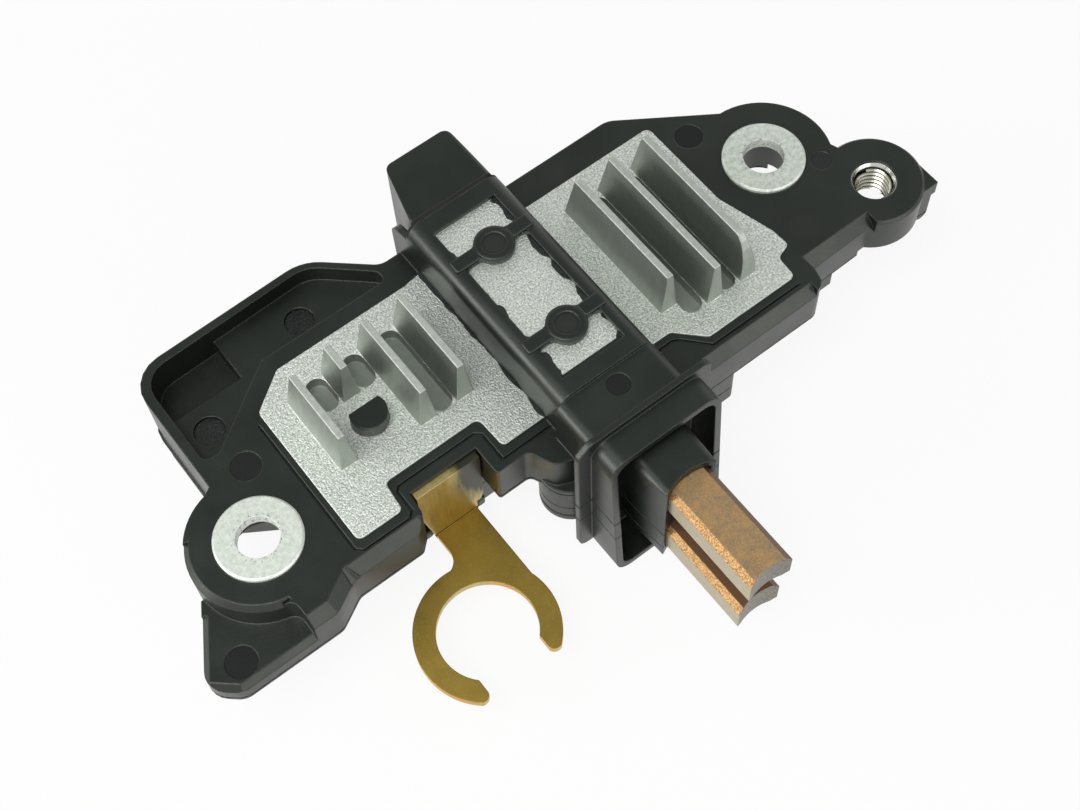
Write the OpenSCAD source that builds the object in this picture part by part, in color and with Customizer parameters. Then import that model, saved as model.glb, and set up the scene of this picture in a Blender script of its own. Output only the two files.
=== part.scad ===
// Alternator voltage regulator with built-in brush holder.
// x runs from the left ear to the right ear, y from the brush tips to the rear cap,
// z up out of the finned face. The origin is the middle of the left bush, on its top face.

/* [Shown node] */
// piece to show, or all of them

/* [Mounting] */
// distance between the two bushes across the body
span_x = 82; // [76:0.5:92]
// how far the right bush sits towards the cap
span_y = 4.3; // [0:0.1:8]
// outer diameter of the steel bushes
bush_od = 11; // [9.6:0.1:12]
// bore of the bushes, for an M5 screw
bush_bore = 5.4; // [5.2:0.1:6.2]
// thickness of the bushes
bush_t = 1.6; // [1.2:0.1:2.6]
// how far the bushes stand above the moulding
bush_proud = 0.6; // [0.3:0.1:1]
// radius of the left ear
ear_r = 9; // [8:0.1:10]
// outer diameter of the threaded insert
insert_od = 8; // [7:0.1:9]
// bore of the threaded insert, at the thread's crests
insert_bore = 4.3; // [4:0.1:5]

/* [Body] */
// thickness of the wings
wing_t = 6.8; // [5:0.1:8]
// middle of the raised bridge, from the left bush
bridge_x = 43.4; // [41:0.1:46]
// width of the bridge
bridge_w = 14.2; // [13.4:0.1:16]
// height of the bridge above the bushes
bridge_h = 7.5; // [6.8:0.1:9]
// radius along the bridge's top edges
bridge_r = 2; // [1:0.1:2.4]
// bevel along the front edges of the wings
front_bevel = 1.5; // [0.8:0.1:2]
// bevel round the top of the low corner tab
tab_bevel = 0.8; // [0.3:0.1:1.2]
// bevel round the top of the left ear
ear_bevel = 0.7; // [0.3:0.1:1]
// depth of the tray in the left wing
tray_d = 2.6; // [1.5:0.1:3.2]
// depth of the electronics box below the bushes
box_d = 15.6; // [14.6:0.1:18]
// depth of the slip-ring hood below the bushes
hood_d = 20.6; // [18:0.1:22]

/* [Heat sink] */
// height of the fins above the plates
fin_h = 7.3; // [5:0.1:9]
// thickness of a fin at its foot
fin_foot = 2.6; // [2:0.1:3]
// thickness of a fin at its top
fin_top = 0.9; // [0.6:0.1:1.4]
// spacing of the left fins
fin_pitch_left = 5.5; // [5:0.1:5.8]
// spacing of the right fins
fin_pitch_right = 5.4; // [5:0.1:5.8]
// thickness of the heat sink's plates
sink_t = 3; // [2:0.1:3.4]

/* [Brushes] */
// width of a brush
brush_w = 6.2; // [5:0.1:6.6]
// thickness of a brush
brush_t = 5; // [4:0.1:5.2]
// length of a brush
brush_len = 22; // [18:0.5:26]
// how far the upper brush stands out of the nose
brush_out = 14.3; // [8:0.1:15]
// spacing of the two brushes
brush_pitch = 10.1; // [9.8:0.1:10.6]
// clearance round a brush in its guide
brush_gap = 0.09; // [0.03:0.01:0.1]
// bevel along the long edges of a brush
brush_bevel = 0.8; // [0.3:0.1:1]
// radius of the slip ring that the brush ends fit
ring_r = 7; // [6:0.1:9]
// turns of a brush spring
spring_turns = 15; // [8:1:18]

/* [Ring terminal] */
// inner radius of the open ring
fork_in = 6.4; // [4:0.1:7]
// outer radius of the open ring
fork_out = 9.25; // [8:0.05:10]
// width of the opening
fork_slot = 9.2; // [6:0.1:10]
// thickness of the brass sheet
sheet_t = 1; // [0.6:0.1:1.2]

/* [Hidden] */
$fn = 48;
e = 0.5;                                  // overshoot of a cut
top = -bush_proud;                        // top face of the wings
base = top - wing_t;                      // underside of the wings
left_low = base - 0.4;                    // lip under the left wing
end_low = base + 1;                       // underside of the right end
xl = bridge_x - bridge_w / 2;             // left foot of the bridge
xr = bridge_x + bridge_w / 2;             // right foot of the bridge
sink_top = top + 0.3;                     // face of the heat sink's plates
sink_low = sink_top - sink_t;
pad_z = bridge_h - 0.6;                   // face of the heat sink in the bridge windows
fin_l = 13.9;                             // first fin on the left, and on the right
fin_r = xr + 7.2;
peg = [19.4, 4.8, 2.4];                   // moulded peg through the heat sink: x, y, radius
tab_top = top - 4;                        // face of the low corner tab
front_y = -10.7;                          // front wall of the left wing
ear_y = -12.9;                            // front wall beside the left ear
step = [2.3, 6.2];                        // where the front wall steps back
right_y = -15.2;                          // front wall of the right wing
ins_x = span_x + 9;                       // threaded insert
ins_y = span_y - 11.5;
ins_cover = 1.2;                          // plastic over the insert's flange
nose_y = -27.1;                           // front corners of the nose
nose_top = 4.4;
nose_mid = -4.45;                         // middle between the two brushes
up_z = nose_mid + brush_pitch / 2;        // middle of the upper brush
low_z = nose_mid - brush_pitch / 2;
guide_w = brush_w + 2 * brush_gap;
guide_t = brush_t + 2 * brush_gap;
guide_back = 18.5;                        // rear wall of the brush guides
flange_y = -17.1;                         // rear face of the hood's flange
flange_t = 0.8;
flange_low = 1.5 - hood_d;
hood_l = xl - 0.5;                        // sides and top of the hood
hood_r = xr + 2;
hood_top = 6.6;
hood_wall = 0.95;
mouth_y = -22.3;                          // middle of the hood's mouth
cap_y = 20;                               // seam of the rear cap
cap_len = 9.2;
cap_r = bridge_x + 6.4;                   // right side of the cap
cap_low = -15;
guard_t = 1;                              // guard wall beside the cap
wall = 1.2;
notch_l = 17.4;                           // notch that holds the ring terminal
notch_r = xl - 9.1;
notch_y = -6.2;
fork_x = 16.8;
fork_y = -21.35;
fork_z = -15;                             // underside of the open ring
tip_y = -6.1;                             // middle of the ring's round tips
tip_r = (fork_out * fork_out - tip_y * tip_y - fork_slot * fork_slot / 4) / (2 * fork_out + fork_slot);
bx = [-0.9, 8.2];                         // left walls of the electronics box, behind and beside the ear
pk = [1, -4.4, 34, 26.4];                 // electronics pocket: x, y, x, y
side_low = -13.7;                         // underside of the box on the right
md = [23.2, -0.8, 32.4, 15.2];            // copper base of the electronics module
case_low = -9.4;                          // underside of the electronics module
web_d = 1.8;                              // depth of the recesses between the fins
deep = [10.6, 21.1];                      // deep corner of the tray: right wall and front wall
far = 60;                                 // reach of a cut that clears the whole part
pk_top = -6.4;                            // ceiling of the pocket beside the heat sink
lead_r = 0.7;

// A closed outline with its corners rounded: each point is [x, y, radius].
function unit(v) = v / norm(v);
function corner(a, p, b, r, n) =
    let (u = unit([a[0] - p[0], a[1] - p[1]]), v = unit([b[0] - p[0], b[1] - p[1]]),
         h = acos(max(-1, min(1, u * v))) / 2, c = [p[0], p[1]] + unit(u + v) * r / sin(h),
         s = [p[0], p[1]] + u * r / tan(h) - c, f = [p[0], p[1]] + v * r / tan(h) - c,
         a0 = atan2(s[1], s[0]), d = atan2(f[1], f[0]) - a0,
         d1 = d > 180 ? d - 360 : d < -180 ? d + 360 : d)
    [for (k = [0:n]) c + r * [cos(a0 + d1 * k / n), sin(a0 + d1 * k / n)]];
function rounded(P, n = 5) = [for (i = [0:len(P) - 1])
    let (p = P[i], a = P[(i + len(P) - 1) % len(P)], b = P[(i + 1) % len(P)])
    each (len(p) < 3 || p[2] == 0) ? [[p[0], p[1]]] : corner(a, p, b, p[2], n)];

module rrect(x0, y0, x1, y1, r) {
    translate([x0 + r, y0]) square([x1 - x0 - 2 * r, y1 - y0]);
    translate([x0, y0 + r]) square([x1 - x0, y1 - y0 - 2 * r]);
    for (x = [x0 + r, x1 - r], y = [y0 + r, y1 - r]) translate([x, y]) circle(r = r);
}
module slab(z0, z1) { translate([0, 0, z0]) linear_extrude(z1 - z0) children(); }
module along_y(y0, y1) { translate([0, y1, 0]) rotate([90, 0, 0]) linear_extrude(y1 - y0) children(); }
module along_x(x0, x1) { translate([x0, 0, 0]) rotate([90, 0, 90]) linear_extrude(x1 - x0) children(); }
module box(x0, y0, z0, x1, y1, z1) { translate([x0, y0, z0]) cube([x1 - x0, y1 - y0, z1 - z0]); }
module disc(x, y, r, z0, z1) { translate([x, y, z0]) cylinder(r = r, h = z1 - z0); }
// a line of width w through the points of a path
module stroke(P, w) {
    for (i = [0:len(P) - 2]) {
        d = P[i + 1] - P[i];
        translate(P[i]) rotate(atan2(d[1], d[0])) translate([0, -w / 2]) square([norm(d), w]);
    }
    for (p = P) translate(p) circle(r = w / 2, $fn = 12);
}
// cuts a bevel off the top edge that runs from p to q, with the body on its left
module bevel_edge(p, q, c, z) {
    d = q - p;
    translate([p[0], p[1], z]) rotate([0, 0, atan2(d[1], d[0])])
        translate([-c * 0.45, 0, 0]) rotate([90, 0, 90]) linear_extrude(norm(d) + c * 0.9)
            polygon([[-0.6, -c - 0.6], [c + 0.6, 0.6], [-0.6, 0.6]]);
}

// Outlines
module left_wing_2d() {
    polygon(rounded([[-1, ear_y], [step[0], ear_y, 2], [step[1], front_y, 2],
        [15.6, front_y, 1], [17.2, -9.2, 1],
        [notch_l, notch_y], [notch_r, notch_y], [notch_r, -10.6, 0.4], [notch_r + 4.6, -10.6, 1],
        [xl - 3, -14, 1.5], [xl - 0.5, -15], [xl + 1, -15], [xl + 1, 22.3], [xl - 3.1, 22.3, 2.5],
        [25.6, 29.1, 6.5], [-1, 28.5, 4.6]]));
    circle(r = ear_r);
    polygon([[-6.9, 5.7], [-1, 9.4], [1, 9.4], [1, 0]]);
    // the curve that runs from the ear into the wing
    f = 1.5; c = [-1 - f, -sqrt((ear_r + f) * (ear_r + f) - (1 + f) * (1 + f))];
    difference() {
        polygon([c, [0, c[1]], [0, 0], c * ear_r / (ear_r + f)]);
        translate(c) circle(r = f);
    }
}
module right_wing_2d() {
    polygon(rounded([[xr - 1, -15], [xr + 6.5, right_y], [span_x - 6.7, right_y, 1.7],
        [span_x - 5.9, -11.9, 0.5], [span_x + 4.4, -11.7, 2], [ins_x - 1, -13], [ins_x, -1],
        [span_x + 8.4, 0.6], [span_x + 4, 12.2],
        [span_x + 0.6, 13.3, 3], [span_x - 12.2, 22, 3.5], [cap_r + 0.1, 22],
        [cap_r + 0.1, cap_y], [xr - 1, cap_y]]));
    translate([span_x, span_y]) circle(r = ear_r + 0.2);
}
module sink_left_2d() {
    polygon(rounded([[9.1, -7.6, 0.8], [15.5, -7.6, 0.7], [15.9, -3.35, 0.8], [xl - 6.6, -3.35, 0.9],
        [xl - 6.4, -8.2, 0.7], [xl + 1, -8.2], [xl + 1, 18.1], [xl - 1.2, 18.1], [xl - 2.3, 17.6, 1.5],
        [14.2, 17.6, 1], [9.1, 13.9, 1.2]]));
}
module sink_right_2d() {
    polygon(rounded([[xr - 1, -8.5], [xr + 5.1, -8.5, 1], [xr + 8.5, -12, 1], [span_x - 8.9, -12, 0.8],
        [span_x - 8.7, -8.6, 1], [span_x - 6.4, -7.9, 0.7], [span_x - 6.6, -5], [span_x - 8.8, 3, 2],
        [span_x - 8.8, 17.5, 0.9], [xr - 1, 17.5]]));
}
module tray_2d() {
    polygon(rounded([[0.3, 12.4, 1.2], [0.3, 27.35, 3.6], [25.35, 28.1, 5], [xl - 4, 21.7, 0.9],
        [xl - 4, 20.1, 0.7], [13.5, 20.1, 0.6], [2.6, 12.6, 1.4]]));
}
module tab_2d() {
    polygon(rounded([[1, ear_y], [-11.6, ear_y, 2.6], [-15, -9.9, 2.8], [-9.4, -0.6], [-3, 0], [1, -6]]));
}
module hat_2d(out) {
    x0 = xl + 1; x1 = xr - 1; r = 1.2;
    difference() {
        union() {
            translate([x0, sink_low]) square([x1 - x0, pad_z - r - sink_low]);
            translate([x0 + r, sink_low]) square([x1 - x0 - 2 * r, pad_z - sink_low]);
            for (x = [x0 + r, x1 - r]) translate([x, pad_z - r]) circle(r = r);
        }
        if (!out) translate([x0 + 1.4, sink_low - 1]) square([x1 - x0 - 2.8, pad_z - 1.6 - sink_low + 1]);
    }
}
module deep_2d() {
    intersection() { tray_2d(); translate([deep[0] - far, deep[1]]) square(far); }
}
module box_2d() {
    polygon(rounded([[bx[1], notch_y, 1], [notch_r + 6, notch_y], [xl - 0.8, notch_y], [xl - 0.8, 22.2],
        [xl - 3.1, 22.2, 2.5], [25.6, 28.9, 6.5], [bx[0], 28.4, 4.6], [bx[0], 9.8, 1], [bx[1], 4, 2]]));
}
module seam_2d() {
    polygon(rounded([[bx[1] - 0.3, notch_y, 1], [notch_l, notch_y], [notch_l, 20], [25.6, 29.1, 6.5],
        [bx[0] - 0.3, 28.7, 4.7], [bx[0] - 0.3, 9.6, 1], [bx[1] - 0.3, 3.8, 2]]));
}
module pocket_2d() {
    polygon(rounded([[bx[1] + 1.9, pk[1], 1], [pk[2], pk[1], 1], [pk[2], 20.6], [xl - 4.6, 21, 2],
        [24.9, 27.2, 5.5],
        [pk[0], pk[3], 3.4], [pk[0], 12.2, 1], [bx[1] + 1.9, 5.2, 2]]));
}
// room for the electronics, with a window up to the heat sink
module pocket(z) {
    slab(z, pk_top) pocket_2d();
    slab(pk_top - 1, sink_low) rrect(md[0] - 0.8, md[1] - 0.8, md[2] + 1, md[3] + 0.8, 1);
}
// the heat sink's flat and bridge parts, as they sit in the moulding
module sink_body() {
    slab(sink_low, sink_top) { sink_left_2d(); sink_right_2d(); }
    along_y(-8.2, 17.5) hat_2d(false);
}

// Heat sink
module fin(x, y0, y1, slope = 0) {
    intersection() {
        along_y(y0, y1) polygon([[x - fin_foot / 2, sink_top - e], [x + fin_foot / 2, sink_top - e],
            [x + fin_top / 2, sink_top + fin_h], [x - fin_top / 2, sink_top + fin_h]]);
        along_x(x - fin_foot, x + fin_foot)
            polygon(concat([[y1, sink_top - 1], [y1, sink_top], [y1 - 1.3, sink_top + fin_h + 0.1]],
                slope > 0
                    ? [for (k = [0:6]) [y0 + slope * (1 - sin(15 * k)), sink_top + (fin_h + 0.1) * cos(15 * k)]]
                    : [[y0 + 0.15, sink_top + fin_h + 0.1]],
                [[y0, sink_top - 1]]));
    }
}
// long recess in the plate between two fins, with round ends
module recess(x, y0, y1, gap) {
    r = gap / 2;
    slab(sink_top - web_d, sink_top + 0.1) {
        translate([x - r, y0 + r]) square([gap, y1 - y0 - gap]);
        for (y = [y0 + r, y1 - r]) translate([x, y]) circle(r = r);
    }
}
module peg_2d(r) {
    intersection() {
        translate([peg[0], peg[1]]) circle(r = r);
        translate([peg[0] - 2 * r, peg[1] - 2 * r]) square([4 * r, 3 * r - 1.3]);
    }
}
module heat_sink() color([0.72, 0.74, 0.72]) {
    f0 = fin_l; p = fin_pitch_left; g0 = fin_r; q = fin_pitch_right;
    difference() {
        union() {
            sink_body();
            fin(f0, 1.1, 12.9);
            fin(f0 + p, 8.6, 13.7);
            fin(f0 + 2 * p, 0.1, 13.9);
            fin(f0 + 3 * p, 0.1, 13.9);
            fin(g0, -5.8, 13.9);
            fin(g0 + q, -8.3, 13.9);
            fin(g0 + 2 * q, -8.3, 13.9, 2.8);
        }
        for (k = [0, 1]) recess(f0 + (k + 0.5) * p, 8.6, 13.7, p - fin_foot);
        recess(f0 + 2.5 * p, 0.1, 13.7, p - fin_foot);
        for (k = [0, 1]) recess(g0 + (k + 0.5) * q, -8.2, 13.2, q - fin_foot);
        slab(sink_low - e, sink_top + 3) peg_2d(peg[2]);
    }
}

// Moulded housing
module hood_2d(g) { rrect(hood_l + g, -hood_d + g, hood_r - g, hood_top - g, 2.4 - g * 0.7); }
module mouth_cut() {
    translate([bridge_x, mouth_y, -6]) rotate([-3.5, 0, 0]) translate([-far / 2, -far, -far / 2]) cube(far);
}
module housing_outer() {
    difference() {
        union() {
            slab(left_low, top) left_wing_2d();
            slab(left_low, tab_top) tab_2d();
            slab(end_low, top) right_wing_2d();
            slab(base, end_low + e) intersection() {
                right_wing_2d();
                translate([span_x + 3 - far, -far / 2]) square(far);
            }
            // ear of the threaded insert
            translate([ins_x - 0.1, ins_y + 0.2, 0]) rotate_extrude()
                polygon([[0, end_low], [6.8, end_low], [6.8, top - 0.4], [6.45, top], [0, top]]);
            // electronics box and the parting line round it
            slab(-box_d, base + 1) box_2d();
            slab(-11.2, -10.9) seam_2d();
            // box on the right of the brush guides
            slab(side_low, base + 1) polygon(rounded([[xr - 2, right_y + 0.1], [xr + 11.1, right_y + 0.1, 0.9],
                [xr + 11.1, 19.5, 2], [xr - 2, 19.5]]));
            for (y = [-10, 2, 14]) box(xr + 10, y, base - 2.4, span_x - 9, y + 1.6, base + 1);
            box(span_x - 5.6, -11.6, base - 3, span_x - 1.1, -8.4, base + 1);
            // bridge, brush guides and front block
            along_y(-11.1, cap_y) {
                rrect(xl, base, xr, bridge_h, bridge_r);
                translate([xl, base]) square([bridge_w, 5]);
            }
            box(bridge_x - 5.2, flange_y + 1, -14.8, bridge_x + 5.2, cap_y, base + 1);
            along_y(flange_y, -11.1) {
                rrect(xl - 0.6, base, xr + 0.1, bridge_h - 0.5, 1.6);
                translate([xl - 0.6, base]) square([bridge_w + 0.7, 5]);
            }
            // flange and hood
            along_y(flange_y - flange_t, flange_y)
                polygon(rounded([[xl - 2.45, flange_low, 1.5], [xr + 3.4, flange_low, 1.5],
                    [xr + 3.4, bridge_h + 0.1, 1.2], [xl - 0.5, bridge_h + 0.1, 1.5],
                    [xl - 2.45, bridge_h - 1.6, 0.8]]));
            along_y(mouth_y - 3, flange_y) hood_2d(0);
            // locating boss under the front block
            disc(xl + 0.3, -12.6, 4.1, -14.4, base + 1);
            // guard beside the cap
            along_x(xl, xl + guard_t)
                polygon(rounded([[18, -5], [23.4, -5, 0.6], [23.6, 4.2, 1.8], [18, 5.5]]));
            // low web between the right ears, and the lug at the right end
            slab(end_low, top - 3)
                polygon([[span_x + 6, 4], [span_x + 9.4, 2.2], [ins_x + 2, ins_y + 6], [ins_x - 4, ins_y]]);
            box(ins_x + 3, ins_y - 5.1, top - 3, ins_x + 6.6, ins_y, top - 0.7);
            along_y(ins_y - 5.1, ins_y - 4) rrect(ins_x + 4, top - 7.6, ins_x + 5.9, top - 2, 0.9);
        }
        mouth_cut();
    }
}
module strap(y, yb) {
    z1 = bridge_h + 0.25;
    slab(pad_z, z1) {
        translate([xl + 1.4, y - 0.95]) square([bridge_w - 3, 1.9]);
        translate([bridge_x + 0.2, yb]) circle(r = 2.6);
    }
}
module channel(z) {
    y0 = nose_y - 1;
    box(bridge_x - guide_w / 2, y0, z - guide_t / 2, bridge_x + guide_w / 2, guide_back, z + guide_t / 2);
    translate([bridge_x, guide_back - 1, z]) rotate([-90, 0, 0]) cylinder(r = lead_r + 0.3, h = 4, $fn = 24);
}
module nose() {
    r0 = 7.5;
    difference() {
        intersection() {
            along_y(nose_y, -13) rrect(bridge_x - 4.15, nose_mid - 8.85, bridge_x + 4.15, nose_top, 1.3);
            slab(-20, 10) polygon([[bridge_x - 4.15, -12], [bridge_x - 4.15, -22],
                [bridge_x - 3.7, nose_y - 0.1], [bridge_x + 3.7, nose_y - 0.1], [bridge_x + 4.15, -22],
                [bridge_x + 4.15, -12]]);
        }
        disc(bridge_x, -26.15 - r0, r0, -30, 20);
    }
}
module groove(P) { slab(top - 0.4, top + 1) stroke(P, 0.3); }
module housing() color([0.15, 0.16, 0.165]) {
    difference() {
        union() {
            difference() {
                housing_outer();
                // bevels along the front edges
                bevel_edge([-1.2, ear_y], [step[0], ear_y], front_bevel, top);
                bevel_edge([step[0], ear_y], [step[1], front_y], front_bevel, top);
                bevel_edge([step[1], front_y], [15.9, front_y], front_bevel, top);
                bevel_edge([xr + 6.5, right_y], [span_x - 8.5, right_y], front_bevel, top);
                bevel_edge([span_x - 5.4, -11.7], [span_x + 4.2, -11.7], front_bevel, top);
                // bevels round the low corner tab and the ear
                bevel_edge([-11.6, ear_y], [-1.4, ear_y], tab_bevel, tab_top);
                bevel_edge([-15, -9.9], [-11.6, ear_y], tab_bevel, tab_top);
                bevel_edge([-10.6, -2.6], [-15, -9.9], tab_bevel, tab_top);
                intersection() {
                    rotate_extrude() polygon([[ear_r + 1, top - ear_bevel - 1], [ear_r + 1, top + 1],
                        [ear_r - ear_bevel - 1, top + 1]]);
                    box(-far, -8.7, top - 4, -1.2, 5, top + 1);
                }
                // tray, its deep corner and the pin marks
                slab(top - tray_d, top + e) tray_2d();
                slab(top - tray_d - 2.6, top) deep_2d();
                disc(3.4, 17.2, 2, top - tray_d - 0.5, top);
                disc(20.9, 23.4, 1.95, top - tray_d - 0.5, top);
                disc(4, 9, 1.95, top - 0.15, top + e);
                disc(span_x - 5.3, 13.2, 1.9, top - 0.15, top + e);
                disc(span_x + 5.7, -0.6, 1.4, top - 0.1, top + e);
                disc(-9.7, -9.9, 2, tab_top - 0.15, tab_top + e);
                disc(bridge_x + 0.1, -13.3, 1.5, bridge_h - 0.65, bridge_h + 1);
                // windows over the heat sink's bridge
                box(bridge_x - 4.7, -8.8, pad_z, bridge_x + 4.6, 17.2, bridge_h + 1);
                // mark lines round the heat sink
                groove([[8.2, 12.5], [8.2, -8.2], [8.9, -8.9], [15.7, -8.9], [16.4, -8.2], [16.4, -5.2],
                    [17, -4.6], [notch_r + 0.9, -4.6], [notch_r + 1.7, -5.3], [notch_r + 1.7, -9.5],
                    [xl - 0.2, -9.5]]);
                groove([[xr + 0.2, -9.5], [xr + 4.6, -9.5], [xr + 5.4, -9.9], [xr + 8.3, -13.1],
                    [span_x - 9, -13.1]]);
                // inside of the hood
                along_y(-far, flange_y - flange_t) hood_2d(hood_wall);
                // groove round the locating boss
                difference() {
                    disc(xl + 0.3, -12.6, 4.3, -13.4, -12.9);
                    disc(xl + 0.3, -12.6, 3.8, -14, -13);
                    box(bridge_x - 5.2, -20, -15, bridge_x + 5, 0, -12);
                }
            }
            nose();
            intersection() {
                union() { strap(11.4, 11.2); strap(-3, -3.3); }
                along_y(-11, cap_y) rrect(xl + 0.5, 0, xr - 0.5, bridge_h + 0.25, 2);
            }
            slab(sink_low, sink_top + 1.9) peg_2d(peg[2]);
        }
        difference() {
            sink_body();
            slab(sink_low - e, sink_top + 3) peg_2d(peg[2]);
        }
        channel(up_z);
        channel(low_z);
        // electronics pocket, open at the bottom, and the way through to the heat sink
        pocket(-box_d - e);
        slab(side_low - e, base - 1) rrect(xr + 1, -13, xr + 9.4, 17.5, 1.2);
        // seats of the bushes, the insert and the strips
        disc(0, 0, bush_od / 2, -bush_t, 1);
        disc(0, 0, bush_bore / 2 + 0.8, base - 1, 0);
        disc(0, 0, bush_od / 2 - 0.2, base - 1, -bush_t - 1.6);
        disc(span_x, span_y, bush_od / 2, -bush_t, 1);
        disc(span_x, span_y, bush_bore / 2 + 0.8, base - 1, 0);
        disc(ins_x, ins_y, insert_od / 2, top - 5.6, top - ins_cover);
        disc(ins_x, ins_y, insert_bore / 2 + 0.85, top - 2, top + 1);
        disc(ins_x, ins_y, insert_bore / 2 + 0.6, base - 1, top);
        strip_upper_solid();
        strip_lower_solid();
        insert_strip_solid();
        fork_solid();
    }
}

// Rear cap of the brush guides
module brush_cap() color([0.13, 0.14, 0.145]) {
    x0 = xl + guard_t + 0.05; x1 = cap_r; y1 = cap_y + cap_len;
    difference() {
        intersection() {
            slab(cap_low, bridge_h)
                polygon(rounded([[x0, cap_y], [x1, cap_y], [x1 - 0.4, y1, 1.2], [x0 + 2.4, y1, 1.2]]));
            along_y(cap_y - 1, y1 + 1) rrect(x0 - 0.01, cap_low, x1 + 0.01, bridge_h, 0.8);
        }
        slab(cap_low + wall, bridge_h - wall) polygon(rounded([[x0 + 1.4, cap_y - e], [x1 - 1.3, cap_y - e],
            [x1 - 1.6, y1 - wall, 0.6], [x0 + 3.6, y1 - wall, 0.6]]));
    }
}

// Metal pieces of the mountings
module bush() {
    difference() {
        rotate_extrude()
            polygon([[0.5, -bush_t], [bush_od / 2, -bush_t], [bush_od / 2, -0.25],
                [bush_od / 2 - 0.25, 0], [0.5, 0]]);
        disc(0, 0, bush_bore / 2, -bush_t - 1, 1);
    }
}
module bush_left() color([0.8, 0.82, 0.8]) bush();
module bush_right() color([0.8, 0.82, 0.8]) translate([span_x, span_y, 0]) bush();
module terminal_insert() color([0.82, 0.82, 0.78]) translate([ins_x, ins_y, top]) {
    r = insert_bore / 2;
    rotate_extrude() polygon([[r, -5.6], [insert_od / 2, -5.6], [insert_od / 2, -ins_cover],
        [r + 0.85, -ins_cover], [r + 0.85, -0.25], [r, -1.1]]);
}

// Brass terminal with the open ring
module fork_2d() {
    difference() {
        union() {
            circle(r = fork_out);
            translate([2.55, 0]) square([6.3, notch_y - fork_y - sheet_t]);
            difference() {
                translate([-0.2, 6.5]) square([3, 4.9]);
                translate([0.15, 11.4]) circle(r = 2.4);
            }
        }
        circle(r = fork_in);
        translate([-fork_slot / 2, -20]) square([fork_slot, 20]);
        // all past the round tips
        difference() {
            translate([-20, tip_y - 20]) square([40, 20]);
            for (m = [0, 1]) mirror([m, 0, 0]) translate([fork_slot / 2 + tip_r, tip_y])
                polygon(concat([for (k = [0:7]) (tip_r + 0.06) * [cos(170 + 20 * k), sin(170 + 20 * k)]],
                    [4 * unit([fork_slot / 2 + tip_r, tip_y]), [4, 0.2], [0, 0.2]]));
        }
    }
}
module fork_solid() {
    translate([fork_x, fork_y, 0]) slab(fork_z, fork_z + sheet_t) fork_2d();
    // leg up the notch and the tongue into the pocket
    along_y(notch_y - sheet_t, notch_y)
        polygon([[fork_x + 2.55, fork_z], [fork_x + 8.85, fork_z], [notch_r - 0.3, -11],
            [notch_r - 0.2, top - 0.5], [notch_l + 0.3, top - 0.5], [notch_l + 0.4, -7]]);
    box(19.6, notch_y - 0.1, -9, 22.4, pk[1] + 2, -8.2);
}
module ring_terminal() color([0.68, 0.58, 0.3]) fork_solid();

// Brushes, springs and leads
module brush(z, out) {
    c = brush_bevel; w = brush_w / 2; t = brush_t / 2; y0 = nose_y - out;
    difference() {
        along_y(y0, y0 + brush_len) translate([bridge_x, z])
            polygon([[-w, -t + c], [-w + c, -t], [w - c, -t], [w, -t + c],
                [w, t - c], [w - c, t], [-w + c, t], [-w, t - c]]);
        disc(bridge_x, y0 + ring_r * (1 - cos(asin(w / ring_r))) - ring_r, ring_r, z - 5, z + 5);
    }
}
module brush_upper() color([0.56, 0.45, 0.34]) brush(up_z, brush_out);
module brush_lower() color([0.56, 0.45, 0.34]) brush(low_z, brush_out - 0.9);

// round wire wound along y from y0 to y1
module coil(z, y0, y1, r, w, turns) {
    n = turns * 12; k = 6; pitch = (y1 - y0 - 2 * w) / turns;
    pts = [for (i = [0:n]) let (a = 360 * i / 12, y = y0 + w + pitch * i / 12) for (j = [0:k - 1])
        let (b = 360 * j / k, q = r + w * cos(b)) [bridge_x + q * cos(a), y + w * sin(b), z + q * sin(a)]];
    sides = [for (i = [0:n - 1], j = [0:k - 1]) let (a = i * k + j, b = i * k + (j + 1) % k)
        each [[a, a + k, b], [b, a + k, b + k]]];
    ends = [[for (j = [0:k - 1]) j], [for (j = [k - 1:-1:0]) n * k + j]];
    polyhedron(points = pts, faces = concat(sides, ends));
}
module spring_upper() color([0.75, 0.75, 0.73])
    coil(up_z, nose_y - brush_out + brush_len, guide_back, 1.9, 0.25, spring_turns);
module spring_lower() color([0.75, 0.75, 0.73])
    coil(low_z, nose_y - brush_out + 0.9 + brush_len, guide_back, 1.9, 0.25, spring_turns);
module lead(z, y0) {
    translate([bridge_x, y0, z]) rotate([-90, 0, 0]) cylinder(r = lead_r, h = cap_y + 3 - y0, $fn = 24);
}
module lead_upper() color([0.72, 0.42, 0.25]) lead(up_z, nose_y - brush_out + brush_len);
module lead_lower() color([0.72, 0.42, 0.25]) lead(low_z, nose_y - brush_out + 0.9 + brush_len);

// Conductor strips inside the moulding
module strip_upper_solid() {
    z = -5;
    box(bridge_x - 1.5, cap_y + 1, up_z - lead_r - 0.6, bridge_x + 1.5, cap_y + 4, up_z - lead_r);
    box(bridge_x - 1.5, cap_y + 3.4, z, bridge_x + 1.5, cap_y + 4, up_z - lead_r);
    box(bridge_x - 1.5, 10, z, bridge_x + 1.5, cap_y + 4, z + 0.6);
    box(32, 10, z, bridge_x + 1.5, 12.5, z + 0.6);
}
module strip_lower_solid() {
    z = -6.4;
    box(bridge_x - 1.5, cap_y + 1, low_z + lead_r, bridge_x + 1.5, cap_y + 3, low_z + lead_r + 0.6);
    box(bridge_x - 1.5, cap_y + 2.4, low_z + lead_r, bridge_x + 1.5, cap_y + 3, z + 0.6);
    box(bridge_x - 1.5, 4, z, bridge_x + 1.5, cap_y + 3, z + 0.6);
    box(32, 4, z, bridge_x + 1.5, 6.5, z + 0.6);
}
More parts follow.
